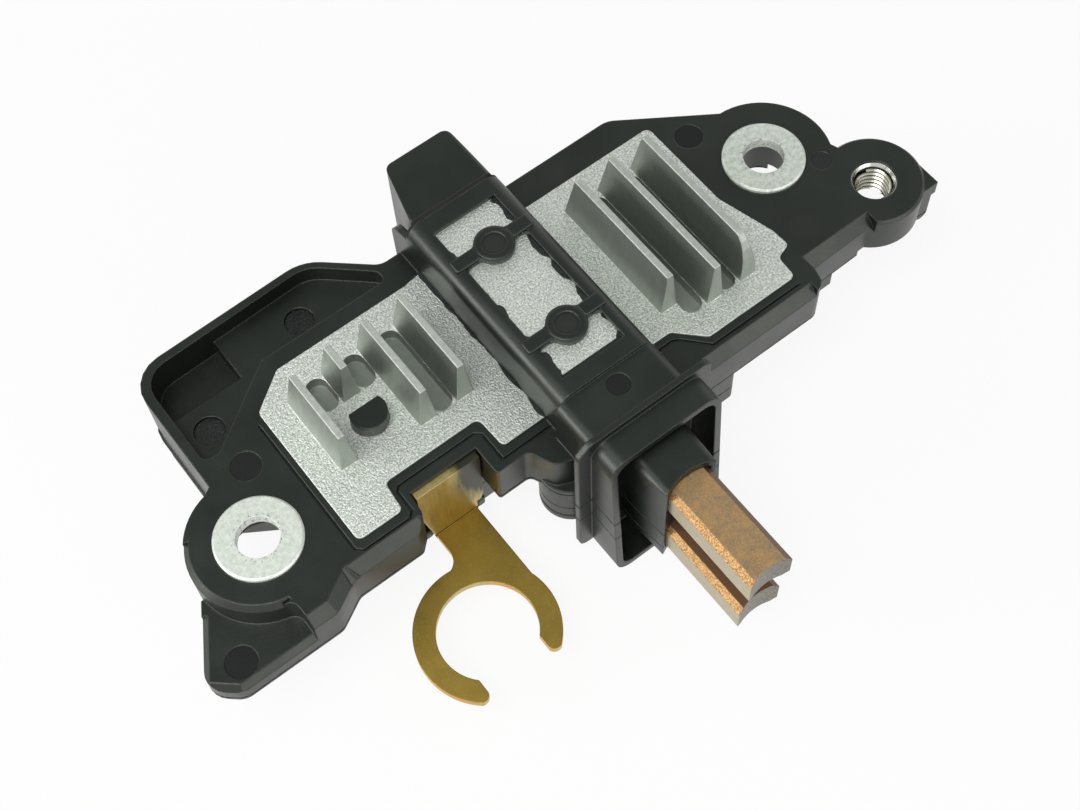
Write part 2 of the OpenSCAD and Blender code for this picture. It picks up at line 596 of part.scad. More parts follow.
module insert_strip_solid() {
    z = sink_low - 1.5;
    difference() {
        slab(z, z + 0.6) {
            translate([32, -1]) square([span_x - 32 + 3, 2.4]);
            translate([span_x + 3, ins_y]) square([2.4, 1.4 - ins_y]);
            translate([span_x + 3, ins_y - 1.2]) square([ins_x - span_x - 3, 2.4]);
            translate([ins_x, ins_y]) circle(r = insert_od / 2 + 1.2);
        }
        disc(ins_x, ins_y, insert_od / 2, -9, 0);
    }
}
module strip_upper() color([0.7, 0.6, 0.32]) strip_upper_solid();
module strip_lower() color([0.7, 0.6, 0.32]) strip_lower_solid();
module insert_strip() color([0.7, 0.6, 0.32]) insert_strip_solid();

// Electronics under the heat sink
module base_solid() { slab(sink_low - 0.8, sink_low) rrect(md[0], md[1], md[2], md[3], 0.6); }
module case_solid() {
    slab(case_low, sink_low - 0.8) rrect(md[0] + 0.4, md[1] + 0.4, md[2] - 0.4, md[3] - 0.4, 0.5);
}
module module_base() color([0.72, 0.45, 0.3]) base_solid();
module module_case() color([0.1, 0.1, 0.1]) case_solid();
module potting() color([0.2, 0.19, 0.17]) difference() {
    pocket(-box_d + 2.2);
    base_solid();
    case_solid();
    fork_solid();
    strip_upper_solid();
    strip_lower_solid();
    insert_strip_solid();
}
module pocket_cover() color([0.14, 0.15, 0.155]) slab(-box_d + 0.4, -box_d + 2.2) pocket_2d();

housing();
heat_sink();
brush_cap();
bush_left();
bush_right();
terminal_insert();
ring_terminal();
brush_upper();
brush_lower();
spring_upper();
spring_lower();
lead_upper();
lead_lower();
strip_upper();
strip_lower();
insert_strip();
module_base();
module_case();
potting();
pocket_cover();
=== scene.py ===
# %% [markdown]
# # An alternator's voltage regulator
# The regulator is a black moulding that carries two carbon brushes, a finned heat sink,
# two steel bushes, a threaded terminal and an open brass ring. Its solids come ready made
# and stay where they are. This lesson lights them, gives each one its finish, and adds the
# fine forms that a solid model leaves out, such as the thread in the terminal.

# %% Load the regulator
import bpy, bmesh, math
from mathutils import Matrix, Vector


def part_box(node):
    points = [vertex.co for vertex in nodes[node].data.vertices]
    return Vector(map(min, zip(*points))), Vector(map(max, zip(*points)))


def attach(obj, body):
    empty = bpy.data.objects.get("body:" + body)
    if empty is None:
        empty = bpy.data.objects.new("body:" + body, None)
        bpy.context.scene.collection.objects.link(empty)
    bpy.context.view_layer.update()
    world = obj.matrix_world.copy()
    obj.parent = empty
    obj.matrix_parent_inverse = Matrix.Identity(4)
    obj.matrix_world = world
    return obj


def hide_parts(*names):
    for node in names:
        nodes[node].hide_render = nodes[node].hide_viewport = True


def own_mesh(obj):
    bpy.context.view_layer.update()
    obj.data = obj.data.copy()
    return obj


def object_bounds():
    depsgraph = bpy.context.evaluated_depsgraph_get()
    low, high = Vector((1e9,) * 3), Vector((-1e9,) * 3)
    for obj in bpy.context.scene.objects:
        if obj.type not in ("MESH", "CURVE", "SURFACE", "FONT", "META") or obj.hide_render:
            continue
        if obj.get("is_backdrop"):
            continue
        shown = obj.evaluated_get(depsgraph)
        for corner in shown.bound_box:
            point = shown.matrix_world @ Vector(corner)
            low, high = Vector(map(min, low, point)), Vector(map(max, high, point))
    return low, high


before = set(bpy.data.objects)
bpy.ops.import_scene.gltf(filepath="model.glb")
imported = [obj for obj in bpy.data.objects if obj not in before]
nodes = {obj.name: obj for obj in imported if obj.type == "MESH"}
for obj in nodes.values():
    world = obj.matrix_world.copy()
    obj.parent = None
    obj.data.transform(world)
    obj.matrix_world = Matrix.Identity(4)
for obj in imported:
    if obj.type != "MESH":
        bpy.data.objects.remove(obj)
solid_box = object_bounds()
MM = 0.001
print("solids:", len(nodes), "box in mm:", [round((b - a) / MM, 1) for a, b in zip(*solid_box)])

# %% [markdown]
# ## The camera
# A camera could be turned by eye, but the photograph holds enough straight edges and circles
# to solve for it. The three rows below are the camera's right, down and forward directions,
# and its lens follows from the picture's field of view of 34.6 degrees across.

# %% Camera
right, down, ahead = (Vector(v) for v in ((0.7933087, -0.6079855, -0.0318586),
                                          (-0.5500550, -0.6933251, -0.4655532),
                                          (0.2609612, 0.3868514, -0.8844463)))
picture_wide_px, focal_px = 1080, 1733.45
standpoint = Vector((-18.31, -88.20, 186.34))
camera = bpy.data.objects.new("camera", bpy.data.cameras.new("camera"))
camera.data.sensor_width = 36
camera.data.lens = focal_px / picture_wide_px * camera.data.sensor_width
camera.data.clip_start, camera.data.clip_end = 0.01, 10
turn = Matrix((right, -down, -ahead)).transposed().to_4x4()
camera.matrix_world = Matrix.Translation(standpoint * MM) @ turn
bpy.context.scene.collection.objects.link(camera)
bpy.context.scene.camera = camera
print("lens in mm:", round(camera.data.lens, 1), "camera height in mm:", round(camera.location.z / MM))

# %% [markdown]
# ## Light and floor
# The picture was taken on a white table in a room that is darker overhead than around it: the
# black faces that look up stay nearly black, and the walls that look at the table turn grey.
# So the background here is white near the table and greyer towards the top, most of all behind
# the part. Three weak soft lamps give the metal its sheen, and none of them stands where a
# flat top would mirror it.

# %% One small function adds a node
# settings that many nodes share, in Blender's own words
MAXIMUM, MULTIPLY, MULTIPLY_ADD = ({"operation": word} for word in ("MAXIMUM", "MULTIPLY", "MULTIPLY_ADD"))
SUBTRACT, ABSOLUTE, DISTANCE = ({"operation": word} for word in ("SUBTRACT", "ABSOLUTE", "DISTANCE"))
CLAMPED_SUBTRACT = {"operation": "SUBTRACT", "use_clamp": True}
RGBA, FLOAT = {"data_type": "RGBA"}, {"data_type": "FLOAT"}

def hex_colour(code):
    srgb = [int(code[k:k + 2], 16) / 255 for k in (1, 3, 5)]
    return tuple(c / 12.92 if c <= 0.04045 else ((c + 0.055) / 1.055) ** 2.4 for c in srgb) + (1.0,)

def add(tree, kind, settings=None, **inputs):
    """An input is named, or numbered as in i0, and takes a number, a colour code or another node's output."""
    node = tree.nodes.new(kind)
    for name, value in (settings or {}).items():
        setattr(node, name, value)
    for name, value in inputs.items():
        numbered = name[0] == "i" and name[1:].isdigit()
        socket = node.inputs[int(name[1:]) if numbered else name.replace("_", " ")]
        if isinstance(value, bpy.types.NodeSocket):
            tree.links.new(value, socket)
        else:
            socket.default_value = hex_colour(value) if isinstance(value, str) else value
    return node

print("mid grey in linear light:", [round(c, 3) for c in hex_colour("#808080")[:3]])

# %% World: white round the table, grey overhead
def seen_or_mirrored(tree):
    """Two masks: 1 where the camera looks straight at it, and 1 where a glossy face mirrors it."""
    path = add(tree, "ShaderNodeLightPath").outputs
    seen = add(tree, "ShaderNodeMath", MAXIMUM, i0=path["Is Camera Ray"], i1=path["Is Transmission Ray"])
    return seen.outputs[0], path["Is Glossy Ray"]

scene = bpy.context.scene
scene.view_settings.view_transform = "Standard"
world = scene.world or bpy.data.worlds.new("studio")
scene.world = world
world.use_nodes = True
tree = world.node_tree
tree.nodes.clear()
seen, mirrored = seen_or_mirrored(tree)
shown = add(tree, "ShaderNodeMath", MAXIMUM, i0=seen, i1=mirrored).outputs[0]
way = add(tree, "ShaderNodeSeparateXYZ", Vector=add(tree, "ShaderNodeTexCoord").outputs["Generated"]).outputs
upward = add(tree, "ShaderNodeMapRange", Value=way["Z"], From_Min=0.35, From_Max=0.8).outputs[0]
rearward = add(tree, "ShaderNodeMapRange", Value=way["Y"], From_Min=0.38, From_Max=0.54).outputs[0]
ceiling = add(tree, "ShaderNodeMix", RGBA, i0=rearward, i6="#adb2ae", i7="#7e837f").outputs[2]
backdrop = add(tree, "ShaderNodeMix", RGBA, i0=upward, i6="#ffffff", i7=ceiling).outputs[2]
level = add(tree, "ShaderNodeMapRange", Value=shown, To_Min=0.5, To_Max=1.0).outputs[0]
sky = add(tree, "ShaderNodeBackground", Color=backdrop, Strength=level)
add(tree, "ShaderNodeOutputWorld", Surface=sky.outputs[0])
print("world nodes:", len(tree.nodes))

# %% Three soft lamps
def soft_lamp(name, place, aim, size, power):
    lamp = bpy.data.objects.new(name, bpy.data.lights.new(name, "AREA"))
    lamp.data.shape, lamp.data.energy = "RECTANGLE", power
    lamp.data.size, lamp.data.size_y = size
    way = (Vector(aim) - Vector(place)).to_track_quat("-Z", "Y").to_matrix().to_4x4()
    lamp.matrix_world = Matrix.Translation(place) @ way
    scene.collection.objects.link(lamp)
    return lamp

aim = (0.043, 0.0, 0.0)
lamps = [soft_lamp("lamp_above", (-0.22, -0.10, 0.58), aim, (0.40, 0.30), 2.3),
         soft_lamp("lamp_left", (-0.45, 0.18, 0.20), aim, (0.22, 0.20), 1.1),
         soft_lamp("lamp_front", (0.15, -0.55, 0.16), aim, (0.5, 0.25), 0.8)]
print("lamps:", [lamp.name for lamp in lamps])

# %% Floor
floor_z, floor_half = solid_box[0][2], 6.0
# the floor glows where it is seen, so that it stays as white as the table in the picture
glow_seen, glow_mirrored = 0.9, 0.95
bm = bmesh.new()
bmesh.ops.create_grid(bm, x_segments=1, y_segments=1, size=floor_half,
                      matrix=Matrix.Translation((0.04, 0, floor_z)))
floor = bpy.data.objects.new("floor", bpy.data.meshes.new("floor"))
bm.to_mesh(floor.data)
bm.free()
scene.collection.objects.link(floor)
white = bpy.data.materials.new("white_table")
white.use_nodes = True
tree = white.node_tree
tree.nodes.clear()
seen, mirrored = seen_or_mirrored(tree)
paper = add(tree, "ShaderNodeBsdfDiffuse", Color=(0.9, 0.9, 0.9, 1))
glow = add(tree, "ShaderNodeEmission", Color=(1, 1, 1, 1), Strength=1.0)
share = add(tree, "ShaderNodeMath", MULTIPLY, i0=seen, i1=glow_seen).outputs[0]
share = add(tree, "ShaderNodeMath", MULTIPLY_ADD, i0=mirrored, i1=glow_mirrored, i2=share).outputs[0]
mix = add(tree, "ShaderNodeMixShader", i0=share, i1=paper.outputs[0], i2=glow.outputs[0])
add(tree, "ShaderNodeOutputMaterial", Surface=mix.outputs[0])
floor.data.materials.append(white)
floor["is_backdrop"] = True
print("floor height in mm:", round(floor_z / MM, 2))

# %% [markdown]
# ## A finish starts from what the thing is made of
# Each finish below is one material. Its pattern is measured in millimetres on the piece
# itself, so it stays put in every view: a noise of scale 4 has grains of about a quarter of a
# millimetre. `start` makes the empty material and hands back the coordinates in millimetres
# and a rounded-edge normal, because a moulded or cast edge is never quite sharp and the thin
# light line along it tells the eye so. `facing` tells which way a face looks, because a saw, a
# mould or a blast of grit treats each side of a piece in its own way.

# %% Start a finish
def start(name, edge_mm):
    material = bpy.data.materials.new(name)
    material.use_nodes = True
    tree = material.node_tree
    tree.nodes.clear()
    where = add(tree, "ShaderNodeTexCoord").outputs["Object"]
    in_mm = add(tree, "ShaderNodeVectorMath", {"operation": "SCALE"}, i0=where, Scale=1 / MM).outputs[0]
    soft_edge = add(tree, "ShaderNodeBevel", {"samples": 6}, Radius=edge_mm * MM).outputs[0]
    return material, tree, in_mm, soft_edge

def coat(material, *node_names):
    for node_name in node_names:
        mesh = nodes[node_name].data
        mesh.materials.clear()
        mesh.materials.append(material)
    print(material.name, "on", ", ".join(node_names))

print("finishes are measured in mm, at", 1 / MM, "per metre")

# %% Masks and grains that several finishes share
LEVEL = (0.6, 0.9)  # how far up the normal points where a face starts to count as level, and fully does

def facing(tree, axis, begin, full):
    """Grows from 0 to 1 as a face's normal turns along an axis from `begin` to `full`."""
    normal = add(tree, "ShaderNodeNewGeometry").outputs["True Normal"]
    part = add(tree, "ShaderNodeSeparateXYZ", Vector=normal).outputs[axis]
    return add(tree, "ShaderNodeMapRange", Value=part, From_Min=begin, From_Max=full).outputs[0]

def facing_either(tree, axis, begin, full):
    """The same for both ends of an axis."""
    one, other = facing(tree, axis, begin, full), facing(tree, axis, -begin, -full)
    return add(tree, "ShaderNodeMath", MAXIMUM, i0=one, i1=other).outputs[0]

def distance_to(tree, value, level):
    """How far a value is from a level, on either side."""
    away = add(tree, "ShaderNodeMath", SUBTRACT, i0=value, i1=level).outputs[0]
    return add(tree, "ShaderNodeMath", ABSOLUTE, i0=away).outputs[0]

def radius_from(tree, in_mm, centre):
    """How far a point is from an upright axis."""
    flat = add(tree, "ShaderNodeVectorMath", MULTIPLY, i0=in_mm, i1=(1, 1, 0)).outputs[0]
    return add(tree, "ShaderNodeVectorMath", DISTANCE, i0=flat, i1=(*centre, 0)).outputs["Value"]

def dragged_grain(tree, in_mm, along, fine, detail, rough):
    """A grain drawn out along the axis whose number in `along` is small."""
    drawn_out = add(tree, "ShaderNodeMapping", Vector=in_mm, Scale=along).outputs[0]
    grain = add(tree, "ShaderNodeTexNoise", Vector=drawn_out, Scale=fine, Detail=detail, Roughness=rough)
    return grain.outputs[0]

print("a face counts as level from a slope of", round(math.degrees(math.acos(LEVEL[0]))), "degrees")

# %% [markdown]
# ## Glass-filled plastic
# The body is a black glass-filled thermoplastic from a mould. A plain dark colour looks dead,
# so the real skin's own marks are added: a fine grain from the mould's texture, slow changes of
# gloss where the melt flowed, and thin ragged lines where the parts of the mould met. The
# shadow in the gap where the cap meets the bridge is painted as a dark line. The round marks on
# the straps' pads are prints of ejector pins, matter than the rest, and a fainter one lies on the
# right wing. The grain is drawn at 0.3 mm, coarser than the real one, so that it shows at this distance.

# %% Marks of the mould
pads, pad_top, pad_print_r = ((43.6, 11.2), (43.6, -3.3)), 7.75, 1.35
wing_top = -0.6
wing_print, wing_print_r = (79.0, -7.0, wing_top), 2.0
parting_lines = ((-7.3, 0.1), (-11.05, 0.08))  # the height and half width of each
cap_seam_y, seam_half, shoulder_z = 20.0, 0.24, 5.5

def ragged_line(tree, in_mm, level, half, wobble):
    """1 within `half` mm of a height that strays up and down by half of `stray`."""
    stray = 0.8
    height = add(tree, "ShaderNodeSeparateXYZ", Vector=in_mm).outputs["Z"]
    shifted = add(tree, "ShaderNodeMath", MULTIPLY_ADD, i0=wobble, i1=stray, i2=height).outputs[0]
    away = distance_to(tree, shifted, level + stray / 2)
    return add(tree, "ShaderNodeMapRange", Value=away, From_Min=half, From_Max=half * 2, To_Min=1.0,
               To_Max=0.0).outputs[0]

def round_mark(tree, in_mm, place, radius):
    away = add(tree, "ShaderNodeVectorMath", DISTANCE, i0=in_mm, i1=place).outputs["Value"]
    return add(tree, "ShaderNodeMapRange", Value=away, From_Min=radius, From_Max=radius - 0.12).outputs[0]

def pin_prints(tree, in_mm):
    on_pads = [round_mark(tree, in_mm, (*pad, pad_top), pad_print_r) for pad in pads]
    on_pads = add(tree, "ShaderNodeMath", MAXIMUM, i0=on_pads[0], i1=on_pads[1]).outputs[0]
    faint = round_mark(tree, in_mm, wing_print, wing_print_r)
    faint = add(tree, "ShaderNodeMath", MULTIPLY, i0=faint, i1=0.5).outputs[0]
    return add(tree, "ShaderNodeMath", MAXIMUM, i0=on_pads, i1=faint).outputs[0]

def lines_and_seam_shadow(tree, in_mm):
    """The mould's parting lines, which show on walls only, and the painted shadow in the seam of the cap."""
    wobble = add(tree, "ShaderNodeTexNoise", Vector=in_mm, Scale=0.9, Detail=4.0, Roughness=0.7).outputs[0]
    lines = [ragged_line(tree, in_mm, level, half, wobble) for level, half in parting_lines]
    line = add(tree, "ShaderNodeMath", MAXIMUM, i0=lines[0], i1=lines[1]).outputs[0]
    walls = add(tree, "ShaderNodeMath", MULTIPLY, i0=line, i1=facing(tree, "Z", 0.5, 0.2)).outputs[0]
    place = add(tree, "ShaderNodeSeparateXYZ", Vector=in_mm).outputs
    # painted shadow: along the seam where the cap meets the bridge the plastic is coloured near black, as the
    # gap's shade
    seam = distance_to(tree, place["Y"], cap_seam_y)
    seam = add(tree, "ShaderNodeMapRange", Value=seam, From_Min=seam_half * 1.5, From_Max=seam_half)
    above = add(tree, "ShaderNodeMapRange", Value=place["Z"], From_Min=shoulder_z, From_Max=shoulder_z + 0.5)
    seam = add(tree, "ShaderNodeMath", MULTIPLY, i0=seam.outputs[0], i1=above.outputs[0]).outputs[0]
    return add(tree, "ShaderNodeMath", MAXIMUM, i0=walls, i1=seam).outputs[0]

print("pads at", pads, "parting lines at", [level for level, half in parting_lines], "mm")

# %% Glass-filled plastic, moulded
def moulded_plastic():
    material, tree, in_mm, edge = start("glass_filled_plastic_moulded", 0.3)
    grain = add(tree, "ShaderNodeTexNoise", Vector=in_mm, Scale=3.4, Detail=3.0, Roughness=0.7).outputs[0]
    flow = add(tree, "ShaderNodeTexNoise", Vector=in_mm, Scale=0.12, Detail=4.0, Roughness=0.6).outputs[0]
    pins = pin_prints(tree, in_mm)
    lines_and_shadow = lines_and_seam_shadow(tree, in_mm)
    colour = add(tree, "ShaderNodeMix", RGBA, i0=flow, i6="#0d1210", i7="#161b19").outputs[2]
    colour = add(tree, "ShaderNodeMix", RGBA, i0=pins, i6=colour, i7="#070808").outputs[2]
    # near black on the parting lines, and painted shadow in the cap's seam
    colour = add(tree, "ShaderNodeMix", RGBA, i0=lines_and_shadow, i6=colour, i7="#030303").outputs[2]
    shine = add(tree, "ShaderNodeMapRange", Value=flow, From_Min=0.3, From_Max=0.7, To_Min=0.31,
                To_Max=0.44).outputs[0]
    shine = add(tree, "ShaderNodeMix", FLOAT, i0=pins, i2=shine, i3=0.55).outputs[0]
    shine = add(tree, "ShaderNodeMix", FLOAT, i0=lines_and_shadow, i2=shine, i3=0.9).outputs[0]
    relief = add(tree, "ShaderNodeMath", MULTIPLY_ADD, i0=lines_and_shadow, i1=6.0, i2=grain).outputs[0]
    bump = add(tree, "ShaderNodeBump", Strength=0.6, Distance=0.035 * MM, Height=relief, Normal=edge)
    skin = add(tree, "ShaderNodeBsdfPrincipled", Base_Color=colour, Roughness=shine, IOR=1.58,
               Specular_Tint=(0.96, 1.0, 0.9, 1.0), Normal=bump.outputs[0])
    add(tree, "ShaderNodeOutputMaterial", Surface=skin.outputs[0])
    return material

plastic = moulded_plastic()
coat(plastic, "housing", "brush_cap", "pocket_cover")

# %% [markdown]
# ## Cast aluminium
# The heat sink is die-cast aluminium. Faces that look up were blasted with grit, which leaves
# a sparkle of 0.2 to 0.3 mm that shows at this distance. The fins' sides slid out of the mould
# and are smoother and darker. The fins' crowns and the sunk floors were spared by the grit, so
# they keep a plainer, greyer skin. Round the windows of the bridge, along the rear edge and at
# the bridge's foot a thin film of plastic has crept over the metal in an irregular line, so the
# finish turns to plastic there.

# %% Where the plastic has crept over the metal
# the bridge's middle and half width, and heights: above the first lie its top and the fins'
# crowns, below the second the plates, and below the third their sunk floors
bridge_x, bridge_half = 43.35, 7.0
high_z, low_z, sunk_z = 5.0, 0.6, -1.2
# the film's edges at the windows, at the bridge's foot and at the rear, and how far each strays
window_half, foot_half, rear_y = 5.84, 8.02, 18.55
window_stray, foot_stray, rear_stray = 3.2, 1.4, 1.5

def plastic_film(tree, in_mm, off, high, near):
    """1 where the film lies. `off` is the distance from the bridge's middle, `high` and `near` its top."""
    creep = add(tree, "ShaderNodeTexNoise", Vector=in_mm, Scale=0.34, Detail=2.0, Roughness=0.45).outputs[0]
    place = add(tree, "ShaderNodeSeparateXYZ", Vector=in_mm).outputs
    ragged = add(tree, "ShaderNodeMath", MULTIPLY_ADD, i0=creep, i1=window_stray, i2=off).outputs[0]
    film = add(tree, "ShaderNodeMapRange", Value=ragged, From_Min=window_half, From_Max=window_half + 0.06)
    film = add(tree, "ShaderNodeMath", MULTIPLY, i0=film.outputs[0], i1=high).outputs[0]
    film = add(tree, "ShaderNodeMath", MULTIPLY, i0=film, i1=near).outputs[0]
    rearward = add(tree, "ShaderNodeMath", MULTIPLY_ADD, i0=creep, i1=rear_stray, i2=place["Y"]).outputs[0]
    rear = add(tree, "ShaderNodeMapRange", Value=rearward, From_Min=rear_y, From_Max=rear_y + 0.05).outputs[0]
    inward = add(tree, "ShaderNodeMath", MULTIPLY_ADD, i0=creep, i1=foot_stray, i2=off).outputs[0]
    foot = add(tree, "ShaderNodeMapRange", Value=inward, From_Min=foot_half, From_Max=foot_half - 0.06)
    fringe = add(tree, "ShaderNodeMath", MAXIMUM, i0=rear, i1=foot.outputs[0]).outputs[0]
    low = add(tree, "ShaderNodeMapRange", Value=place["Z"], From_Min=low_z, From_Max=low_z - 0.1).outputs[0]
    fringe = add(tree, "ShaderNodeMath", MULTIPLY, i0=fringe, i1=low).outputs[0]
    return add(tree, "ShaderNodeMath", MAXIMUM, i0=film, i1=fringe).outputs[0]

print("film starts about", round(window_half - window_stray / 2, 1), "mm from the bridge's middle")

# %% Cast aluminium
def cast_aluminium():
    material, tree, in_mm, edge = start("aluminium_cast_and_blasted", 0.25)
    grit = add(tree, "ShaderNodeTexNoise", Vector=in_mm, Scale=3.9, Detail=2.0, Roughness=0.7).outputs[0]
    cloud = add(tree, "ShaderNodeTexNoise", Vector=in_mm, Scale=0.22, Detail=3.0).outputs[0]
    drag = dragged_grain(tree, in_mm, (1.0, 1.0, 0.2), 1.4, 4.0, 0.6)
    # what the grit reached: level faces, but neither the fins' crowns nor the sunk floors
    place = add(tree, "ShaderNodeSeparateXYZ", Vector=in_mm).outputs
    off = distance_to(tree, place["X"], bridge_x)
    high = add(tree, "ShaderNodeMapRange", Value=place["Z"], From_Min=high_z, From_Max=high_z + 0.1)
    near = add(tree, "ShaderNodeMapRange", Value=off, From_Min=bridge_half, From_Max=bridge_half - 0.1)
    high, near = high.outputs[0], near.outputs[0]
    tips = add(tree, "ShaderNodeMath", CLAMPED_SUBTRACT, i0=high, i1=near).outputs[0]
    sunk = add(tree, "ShaderNodeMapRange", Value=place["Z"], From_Min=sunk_z, From_Max=sunk_z - 0.2)
    spared = add(tree, "ShaderNodeMath", MAXIMUM, i0=tips, i1=sunk.outputs[0]).outputs[0]
    skyward = facing(tree, "Z", *LEVEL)
    crowns = add(tree, "ShaderNodeMath", MULTIPLY, i0=tips, i1=skyward).outputs[0]
    up = add(tree, "ShaderNodeMath", CLAMPED_SUBTRACT, i0=skyward, i1=spared).outputs[0]
    film = plastic_film(tree, in_mm, off, high, near)
    # colours
    sparkle = add(tree, "ShaderNodeMapRange", Value=grit, From_Min=0.36, From_Max=0.64).outputs[0]
    blasted = add(tree, "ShaderNodeMix", RGBA, i0=sparkle, i6="#b7bdb5", i7="#f8fbf6").outputs[2]
    drawn = add(tree, "ShaderNodeMix", RGBA, i0=drag, i6="#989e96", i7="#b4bab2").outputs[2]
    rubbed = add(tree, "ShaderNodeMix", RGBA, i0=drag, i6="#a9afa7", i7="#e2e6df").outputs[2]
    colour = add(tree, "ShaderNodeMix", RGBA, i0=up, i6=drawn, i7=blasted).outputs[2]
    colour = add(tree, "ShaderNodeMix", RGBA, i0=crowns, i6=colour, i7=rubbed).outputs[2]
    colour = add(tree, "ShaderNodeMix", RGBA, i0=film, i6=colour, i7="#212623").outputs[2]
    # gloss and relief
    metallic = add(tree, "ShaderNodeMapRange", Value=film, To_Min=1.0, To_Max=0.0).outputs[0]
    shine = add(tree, "ShaderNodeMapRange", Value=cloud, To_Min=0.42, To_Max=0.55).outputs[0]
    shine = add(tree, "ShaderNodeMix", FLOAT, i0=up, i2=0.52, i3=shine).outputs[0]
    bite = add(tree, "ShaderNodeMapRange", Value=up, To_Min=0.35, To_Max=1.0).outputs[0]
    rough_skin = add(tree, "ShaderNodeMath", MULTIPLY, i0=grit, i1=bite).outputs[0]
    relief = add(tree, "ShaderNodeMath", MULTIPLY_ADD, i0=film, i1=1.5, i2=rough_skin).outputs[0]
    bump = add(tree, "ShaderNodeBump", Strength=1.0, Distance=0.11 * MM, Height=relief, Normal=edge)
    metal = add(tree, "ShaderNodeBsdfPrincipled", Base_Color=colour, Metallic=metallic, Roughness=shine,
                Normal=bump.outputs[0])
    add(tree, "ShaderNodeOutputMaterial", Surface=metal.outputs[0])
    return material

coat(cast_aluminium(), "heat_sink")

# %% [markdown]
# ## Zinc-plated steel
# The bushes are turned from steel and plated with zinc, which clouds to a whitish mottle. A
# screw head has left a rough ring round each bore. The springs are of bright steel that
# nothing has rubbed. The threaded insert gets a finish of its own further on, with its thread.

# %% Zinc-plated steel
left_bore, right_bore, off_the_part = (0, 0), (82, 4.3), (0, 60)
ring_outer, ring_inner = 3.7, 2.9  # the worn ring grows in between these radii

def plated_steel(name, centre, dull, bright, rough, metallic):
    material, tree, in_mm, edge = start(name, 0.12)
    spots = add(tree, "ShaderNodeTexNoise", Vector=in_mm, Scale=1.5, Detail=5.0, Roughness=0.7).outputs[0]
    pits = add(tree, "ShaderNodeTexNoise", Vector=in_mm, Scale=2.2, Detail=3.0, Roughness=0.7).outputs[0]
    radius = radius_from(tree, in_mm, centre)
    worn = add(tree, "ShaderNodeMapRange", Value=radius, From_Min=ring_outer, From_Max=ring_inner).outputs[0]
    mottle = add(tree, "ShaderNodeMapRange", Value=spots, From_Min=0.36, From_Max=0.62).outputs[0]
    colour = add(tree, "ShaderNodeMix", RGBA, i0=mottle, i6=dull, i7=bright).outputs[2]
    dark_pits = add(tree, "ShaderNodeMapRange", Value=pits, From_Min=0.44, From_Max=0.38).outputs[0]
    dark_pits = add(tree, "ShaderNodeMath", MULTIPLY, i0=dark_pits, i1=worn).outputs[0]
    colour = add(tree, "ShaderNodeMix", RGBA, i0=dark_pits, i6=colour, i7="#a0a49b").outputs[2]
    relief = add(tree, "ShaderNodeMath", MULTIPLY, i0=pits, i1=worn).outputs[0]
    relief = add(tree, "ShaderNodeMath", MULTIPLY_ADD, i0=spots, i1=0.8, i2=relief).outputs[0]
    bump = add(tree, "ShaderNodeBump", Strength=0.6, Distance=0.06 * MM, Height=relief, Normal=edge)
    metal = add(tree, "ShaderNodeBsdfPrincipled", Base_Color=colour, Metallic=metallic, Roughness=rough,
                Normal=bump.outputs[0])
    add(tree, "ShaderNodeOutputMaterial", Surface=metal.outputs[0])
    return material

coat(plated_steel("steel_zinc_plated_left", left_bore, "#dbe2d7", "#f6fbf3", 0.42, 0.45), "bush_left")
coat(plated_steel("steel_zinc_plated_right", right_bore, "#cdd4c9", "#f2f7ef", 0.42, 0.45), "bush_right")
bright_steel = plated_steel("steel_plated_bright", off_the_part, "#c9cac2", "#f4f4ec", 0.2, 1.0)
coat(bright_steel, "terminal_insert", "spring_upper", "spring_lower")

# %% [markdown]
# ## Brass sheet
# The open ring and its leg are stamped from rolled brass. The flat ring has turned brownish,
# looks smooth and has a few pale scuffs. The leg stands up into the moulding, and the bending
# tool has dragged grain down its face. The leg is darker in the bend at its foot. Its upper corner is
# tinned grey.

# %% Marks on the brass leg
leg_left, leg_right = 22.2, 26.3
# from the foot up to where the leg shows, and where its end is hidden in the moulding
leg_foot_z, leg_shown_z, leg_hidden_z = -13.5, -5.0, -1.3
crease_z, crease_y = -13.6, -7.4

def tinned_corner(tree, place, drag):
    across = add(tree, "ShaderNodeMapRange", Value=place["X"], From_Min=leg_left, From_Max=leg_right)
    above = add(tree, "ShaderNodeMapRange", Value=place["Z"], From_Min=leg_foot_z, From_Max=leg_shown_z)
    corner = add(tree, "ShaderNodeMath", MULTIPLY, i0=across.outputs[0], i1=above.outputs[0]).outputs[0]
    corner = add(tree, "ShaderNodeMath", MULTIPLY_ADD, i0=drag, i1=0.6, i2=corner).outputs[0]
    return add(tree, "ShaderNodeMapRange", Value=corner, From_Min=0.45, From_Max=0.8).outputs[0]

def foot_crease(tree, place, leg):
    low = add(tree, "ShaderNodeMapRange", Value=place["Z"], From_Min=crease_z, From_Max=crease_z - 0.25)
    inner = add(tree, "ShaderNodeMapRange", Value=place["Y"], From_Min=crease_y, From_Max=crease_y + 0.2)
    on_leg = add(tree, "ShaderNodeMath", MULTIPLY, i0=low.outputs[0], i1=leg).outputs[0]
    return add(tree, "ShaderNodeMath", MULTIPLY, i0=on_leg, i1=inner.outputs[0]).outputs[0]

print("leg from", leg_left, "to", leg_right, "mm, crease at height", crease_z, "mm")

